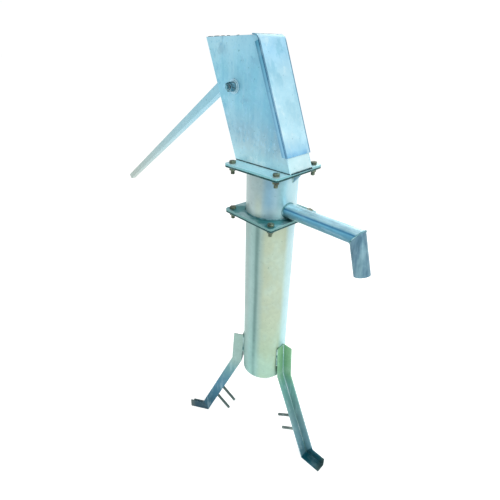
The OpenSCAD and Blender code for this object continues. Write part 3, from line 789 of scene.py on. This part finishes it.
def solids(node):
    """Low and high corners of each separate solid of a CAD node."""
    builder = merged(node)
    left = set(builder.verts)
    boxes = []
    for seed in builder.verts:
        if seed not in left:
            continue
        group, reach = [], [seed]
        left.discard(seed)
        while reach:
            vert = reach.pop()
            group.append(vert.co.copy())
            for e in vert.link_edges:
                far = e.other_vert(vert)
                if far in left:
                    left.discard(far)
                    reach.append(far)
        low = Vector(min(p[i] for p in group) for i in range(3))
        high = Vector(max(p[i] for p in group) for i in range(3))
        boxes.append((low, high))
    builder.free()
    return boxes


def centre_of(low, high):
    return (low + high) / 2


def inside(point, low, high, slack=1e-4):
    return all(low[i] - slack <= point[i] <= high[i] + slack for i in range(3))


# ---------------------------------------------------------------------- the pump

WELD = weld_finish("weld_metal", [PINE, LAGOON, TEAL_PALE, FROST])
DULL = weld_finish("weld_dull", [
    srgb(46, 96, 98), srgb(74, 128, 134), srgb(112, 160, 170), srgb(158, 200, 208),
])
# Dark weld tint: burnt weld metal for the top tacks, and painted shade for the contact shadow along the foot
# of the head box.
BURNT_AND_SHADE = weld_finish("weld_burnt_and_shade", [
    srgb(6, 28, 34), srgb(12, 46, 54), srgb(20, 66, 76), srgb(56, 104, 114),
], wear_and_sheen=srgb(20, 66, 76))
FASTENER = fastener_finish()
AXLE = bare_finish("axle_steel", srgb(104, 158, 174), srgb(16, 76, 90), 0.3)
BEARING = bare_finish("bearing_steel", BRIGHT, srgb(150, 156, 158), 0.15)
CHAIN = bare_finish("chain_steel", srgb(92, 90, 84), OIL, 0.35)
INNER = bare_finish("welded_steel", srgb(122, 150, 158), LAGOON, 0.38)


def dress_stand():
    dress(pedestal_finish(), 0.8 * MM, "pedestal_pipe")
    # The lower plate of each bolted pair has dark tints all over: painted shade under the plate above it.
    stand_flange = flange_finish("zinc_flange_stand", srgb(64, 112, 104), RIM_SHADE)
    dress(stand_flange, 1.2 * MM, "pedestal_flange")
    foot_flange = flange_finish("zinc_flange_foot", srgb(56, 132, 136), srgb(96, 144, 142), 0.2)
    dress(foot_flange, 1.2 * MM, "tank_bottom_flange")
    # The last arguments, the dark foot tints, are painted shade inside the bent feet.
    front = leg_finish("zinc_leg_front", [
        (0.0, srgb(92, 138, 152)), (0.05, srgb(98, 142, 154)), (0.17, srgb(114, 152, 156)),
        (0.31, srgb(108, 162, 154)), (0.37, srgb(116, 168, 134)), (0.5, LEAF),
    ], srgb(0, 84, 98))
    side = leg_finish("zinc_leg_side", [
        (0.0, srgb(20, 74, 94)), (0.08, srgb(22, 82, 102)), (0.2, srgb(58, 112, 136)),
        (0.3, srgb(98, 142, 146)), (0.36, srgb(140, 170, 164)), (0.5, srgb(142, 172, 163)),
    ], srgb(4, 62, 78))
    dress(front, 1.2 * MM, "leg_front")
    dress(side, 1.2 * MM, "leg_left", "leg_right")
    dress(sheet_finish("zinc_rod", srgb(74, 92, 90), srgb(128, 146, 142)), 1.0 * MM, "anchor_rods")


def dress_tank():
    dress(tank_finish(), 0.8 * MM, "tank_shell")
    # The lower plate of each bolted pair has dark tints all over: painted shade under the plate above it.
    tank_flange = flange_finish("zinc_flange_tank", srgb(66, 118, 112), RIM_SHADE)
    dress(tank_flange, 1.2 * MM, "tank_top_flange")
    head_flange = flange_finish("zinc_flange_head", srgb(202, 246, 254), srgb(116, 176, 184), 0.05)
    dress(head_flange, 1.2 * MM, "head_flange")
    gusset = sheet_finish("zinc_gusset", STEEL_BLUE, SKY_GREY)
    dress(gusset, 0.8 * MM, "tank_gusset", "riser_socket", "rod_guide")
    dress(spout_finish(), 0.8 * MM, "spout_pipe")
    dress(nozzle_finish(), 0.8 * MM, "spout_nozzle")
    dress(FASTENER, 0.9 * MM, "tank_bolts", "tank_nuts", "head_bolts", "head_nuts")


def dress_head():
    plates = plate_finish("zinc_plate", *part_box("side_plate_left"))
    dress(plates, 1.0 * MM, "side_plate_left", "side_plate_right")
    dress(sheet_finish("zinc_top", ICE, FROST), 1.0 * MM, "top_plate")
    pale_sheet = sheet_finish("zinc_lower_front", srgb(194, 234, 241), FROST)
    dress(pale_sheet, 1.0 * MM, "lower_front_plate", "handle_stop")
    dress(cover_finish(), 1.4 * MM, "front_cover")
    dress(AXLE, 0.8 * MM, "handle_axle", "axle_nut", "axle_lock_nut")
    dress(sheet_finish("zinc_bush", ICE_BLUE, SKY_GREY), 0.8 * MM, "axle_washers", "axle_bushes")


def dress_drive():
    dress(BEARING, 0, "bearing_inner_rings", "bearing_balls", "bearing_outer_rings")
    dress(bar_finish(), 1.5 * MM, "handle_bar")
    dress(INNER, 0.8 * MM, "bearing_spacer", "bearing_housing", "chain_quadrant", "chain_coupling",
          "connecting_rod")
    dress(CHAIN, 0.5 * MM, "chain_inner_links", "chain_outer_links", "chain_lower_link")
    dress(CHAIN, 0, "chain_rollers", "chain_pins", "chain_lower_pin")
    dress(FASTENER, 0.6 * MM, "chain_anchor_bolt", "chain_anchor_nut", "rod_lock_nut")


def add_ring_welds():
    """Fillet welds where the pipes meet their flanges."""
    pipe_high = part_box("pedestal_pipe")[1]
    tank_low, tank_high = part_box("tank_shell")
    inset = 1.2 * MM
    levels = {
        "weld_stand_flange": pipe_high.z - inset,
        "weld_tank_foot": tank_low.z + inset,
        "weld_tank_top": tank_high.z - inset,
    }
    for name, level in levels.items():
        weld_bead(name, [ring(Vector((0, 0, level)), pipe_high.x + inset)], 2.6 * MM, material=DULL)


def add_leg_welds():
    """Two upright beads between each leg's back limb and the pipe."""
    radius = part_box("pedestal_pipe")[1].x
    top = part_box("leg_front")[1].z
    begin, end = Vector((0, 0, top - 4 * MM)), Vector((0, 0, top - 92 * MM))
    lines = []
    for degrees in LEG_TURNS:
        out = Vector((math.cos(math.radians(degrees)), math.sin(math.radians(degrees)), 0))
        side = Vector((-out.y, out.x, 0))
        for sign in (-1, 1):
            high = out * (radius - 0.6 * MM) + side * (sign * 18 * MM) + begin
            low = out * (radius + 1.2 * MM) + side * (sign * 17 * MM) + end
            lines.append([high, low])
    weld_bead("weld_legs", lines, 3.4 * MM)


def root_line(node, side):
    """The inner corner of an angle-iron leg, from its top to its toe."""
    builder = merged(node)
    points = []
    for e in builder.edges:
        if len(e.link_faces) == 2 and e.calc_face_angle_signed() < -SHARP:
            a, b = (v.co.copy() for v in e.verts)
            if abs((b - a).normalized().dot(side)) < 0.5:
                points += [a, b]
    builder.free()
    line = []
    for point in sorted(points, key=lambda p: (-p.z, p.xy.length)):
        if not line or (line[-1] - point).length > 1e-4:
            line.append(point)
    return line


def add_leg_roots():
    """Rolled root radius along the inner corner of each leg down to its heel, in a pale tint as a painted
    highlight along the corner.
    """
    # Painted highlight: the pale root tint.
    material = sheet_finish("zinc_root", srgb(150, 204, 200), FROST)
    reach = 5.5 * MM
    buried = -0.4 * MM
    arc = [(reach * (1 - math.cos(math.radians(a))), reach * (1 - math.sin(math.radians(a))))
           for a in range(0, 91, 15)]
    section = [(buried, buried), (buried, reach)] + arc[::-1] + [(reach, buried)]
    for node in ("leg_front", "leg_left", "leg_right"):
        middle_point = centre_of(*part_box(node))
        out = Vector((middle_point.x, middle_point.y, 0)).normalized()
        side = Vector((-out.y, out.x, 0))
        line = root_line(node, side)[:-1]
        normals = []
        for a, b in zip(line, line[1:]):
            normals.append(side.cross(b - a).normalized())
        builder = bmesh.new()
        rings = []
        for i, point in enumerate(line):
            before, after = normals[max(0, i - 1)], normals[min(i, len(normals) - 1)]
            lift = (before + after) / (1 + before.dot(after))
            rings.append([builder.verts.new(point + lift * u - side * v) for u, v in section])
        skin(builder, rings)
        bmesh.ops.recalc_face_normals(builder, faces=builder.faces)
        new_piece("root_" + node, builder, material, "stand")


def add_spout_welds():
    """Saddle weld on the tank, and the weld round the mitred corner."""
    lines = [line for line in chains("spout_pipe") if length(line) > PIPE_RIM]
    halfway = 0.17
    saddles = sorted((line for line in lines if middle(line).xy.length < halfway), key=length)
    mitres = sorted((line for line in lines if middle(line).xy.length > halfway), key=length)
    weld_bead("weld_spout_saddle", [saddles[-1]], 3.2 * MM, material=DULL)
    weld_bead("weld_spout_mitre", [mitres[-1]], 1.6 * MM, material=DULL)


def low_edge(node, level):
    """Where a node's lowest edge starts and ends in X."""
    found = [v.co.x for v in NODES[node].data.vertices if abs(v.co.z - level) < 0.1 * MM]
    return min(found), max(found)


def add_head_welds():
    """Dark seam welds round the foot of the head box, their dark tint also painted shade for the contact
    shadow along the foot.
    """
    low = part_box("side_plate_left")[0]
    outer = -low.y + 0.3 * MM
    level = low.z + 0.8 * MM
    rear, front = low_edge("side_plate_left", low.z)
    seams = [[Vector((rear, y, level)), Vector((front, y, level))] for y in (-outer, outer)]
    weld_bead("weld_head_foot", seams, 1.5 * MM, material=BURNT_AND_SHADE)
    ahead = front + 1.2 * MM
    weld_bead("weld_head_front", [[Vector((ahead, 4 * MM - outer, level)), Vector((ahead, outer, level))]],
              2.4 * MM, material=BURNT_AND_SHADE)


def add_top_tacks():
    """Short weld runs between the top plate and the side plates."""
    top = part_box("top_plate")[1]
    corner = min((v.co for v in NODES["side_plate_left"].data.vertices), key=lambda p: p.x - p.z)
    rise = math.tan(TOP_RISE)
    runs = []
    for y in (-top.y, top.y):
        for begin, end in TOP_TACKS:
            runs.append([Vector((corner.x + x, y, corner.z + x * rise)) for x in (begin, end)])
    weld_bead("weld_top_tacks", runs, 1.5 * MM, material=BURNT_AND_SHADE)


def add_gusset_weld():
    """Small beads on both sides of the gusset."""
    low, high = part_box("tank_gusset")
    lines = []
    root = low.x + 0.5 * MM
    for y in (low.y - 0.6 * MM, high.y + 0.6 * MM):
        lines.append([Vector((root, y, high.z - 1 * MM)), Vector((root, y, low.z + 2 * MM))])
        lines.append([Vector((low.x + 2 * MM, y, high.z)), Vector((high.x - 2 * MM, y, high.z))])
    weld_bead("weld_gusset", lines, 1.8 * MM)


def add_anchor_welds():
    """A bead round the root of each anchor rod."""
    roots = []
    for low, high in solids("anchor_rods"):
        rims = [line for line in chains("anchor_rods") if inside(middle(line), low, high)]
        roots.append(max(rims, key=lambda line: middle(line).xy.length))
    weld_bead("weld_anchors", roots, 1.6 * MM)


def add_bolt_threads():
    """Screw threads on the bolt ends under the nuts."""
    for bolts, nuts in (("tank_bolts", "tank_nuts"), ("head_bolts", "head_nuts")):
        rods = []
        nut_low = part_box(nuts)[0].z
        for low, high in solids(bolts):
            centre = centre_of(low, high)
            start = Vector((centre.x, centre.y, low.z + 0.6 * MM))
            rods.append((start, Vector((centre.x, centre.y, nut_low)), BOLT_THREAD))
        thread("thread_" + bolts, rods, 1.75 * MM, FASTENER, "stand")


def add_axle_thread():
    """Thread on the axle's end past the lock nut."""
    low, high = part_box("handle_axle")
    nut_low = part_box("axle_lock_nut")[0]
    centre = centre_of(low, high)
    end = Vector((centre.x, nut_low.y + 0.5 * MM, centre.z))
    start = Vector((centre.x, low.y + 0.6 * MM, centre.z))
    thread("thread_axle", [(start, end, AXLE_THREAD)], 1.6 * MM, AXLE, "stand")


def add_rod_thread():
    """Thread on the connecting rod's lower end."""
    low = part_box("connecting_rod")[0]
    start = Vector((0, 0, low.z + 1 * MM))
    end = start + Vector((0, 0, 38 * MM))
    thread("thread_rod", [(start, end, ROD_THREAD)], 1.75 * MM, INNER, "rod")


# ------------------------------------------------------------------------ studio


def add_floor():
    """Plain pale floor under the feet."""
    builder = bmesh.new()
    bmesh.ops.create_circle(builder, cap_ends=True, segments=96, radius=FLOOR_RADIUS)
    mesh = bpy.data.meshes.new("floor")
    builder.to_mesh(mesh)
    builder.free()
    mesh.materials.append(floor_finish())
    floor = bpy.data.objects.new("floor", mesh)
    floor.location.z = cad_low.z
    bpy.context.scene.collection.objects.link(floor)


def add_softbox(name, place, size, power):
    """A round soft light aimed at the pump."""
    light = bpy.data.lights.new(name, "AREA")
    light.shape = "DISK"
    light.size = size
    light.energy = power
    lamp = bpy.data.objects.new(name, light)
    lamp.location = place
    lamp.rotation_mode = "QUATERNION"
    lamp.rotation_quaternion = (Vector(place) - Vector(LIGHT_TARGET)).to_track_quat("Z", "Y")
    bpy.context.scene.collection.objects.link(lamp)


def add_studio():
    """White surroundings, dimmer for the pump than for the camera, and three softboxes."""
    scene = bpy.context.scene
    world = bpy.data.worlds.new("studio")
    world.use_nodes = True
    background = world.node_tree.nodes["Background"]
    background.inputs["Color"].default_value = (1.0, 1.0, 1.0, 1.0)
    nodes, links = world.node_tree.nodes, world.node_tree.links
    path = nodes.new("ShaderNodeLightPath")
    strength = nodes.new("ShaderNodeMapRange")
    strength.inputs["To Min"].default_value = AMBIENT
    strength.inputs["To Max"].default_value = BACKDROP
    links.new(path.outputs["Is Camera Ray"], strength.inputs["Value"])
    links.new(strength.outputs["Result"], background.inputs["Strength"])
    scene.world = world
    scene.view_settings.view_transform = "Standard"
    add_softbox("key", (2.4, -0.5, 2.4), 1.6, 52)
    add_softbox("fill", (-1.8, -2.2, 1.4), 2.0, 5)
    add_softbox("back", (-0.6, 2.4, 2.2), 1.8, 22)


def add_camera():
    """The camera, turned to its heading, tilted down and rolled a little."""
    data = bpy.data.cameras.new("camera")
    data.sensor_width = SENSOR
    data.lens = CAMERA_LENS
    camera = bpy.data.objects.new("camera", data)
    bpy.context.scene.collection.objects.link(camera)
    turn = Matrix.Rotation(CAMERA_HEADING, 4, "Z")
    tilt = Matrix.Rotation(math.pi / 2 - CAMERA_DOWN, 4, "X")
    roll = Matrix.Rotation(CAMERA_ROLL, 4, "Z")
    camera.matrix_world = Matrix.Translation(CAMERA_PLACE) @ turn @ tilt @ roll
    bpy.context.scene.camera = camera


dress_stand()
dress_tank()
dress_head()
dress_drive()
add_ring_welds()
add_leg_welds()
add_leg_roots()
add_head_welds()
add_top_tacks()
add_spout_welds()
add_gusset_weld()
add_anchor_welds()
add_bolt_threads()
add_axle_thread()
add_rod_thread()
add_floor()
add_studio()
add_camera()
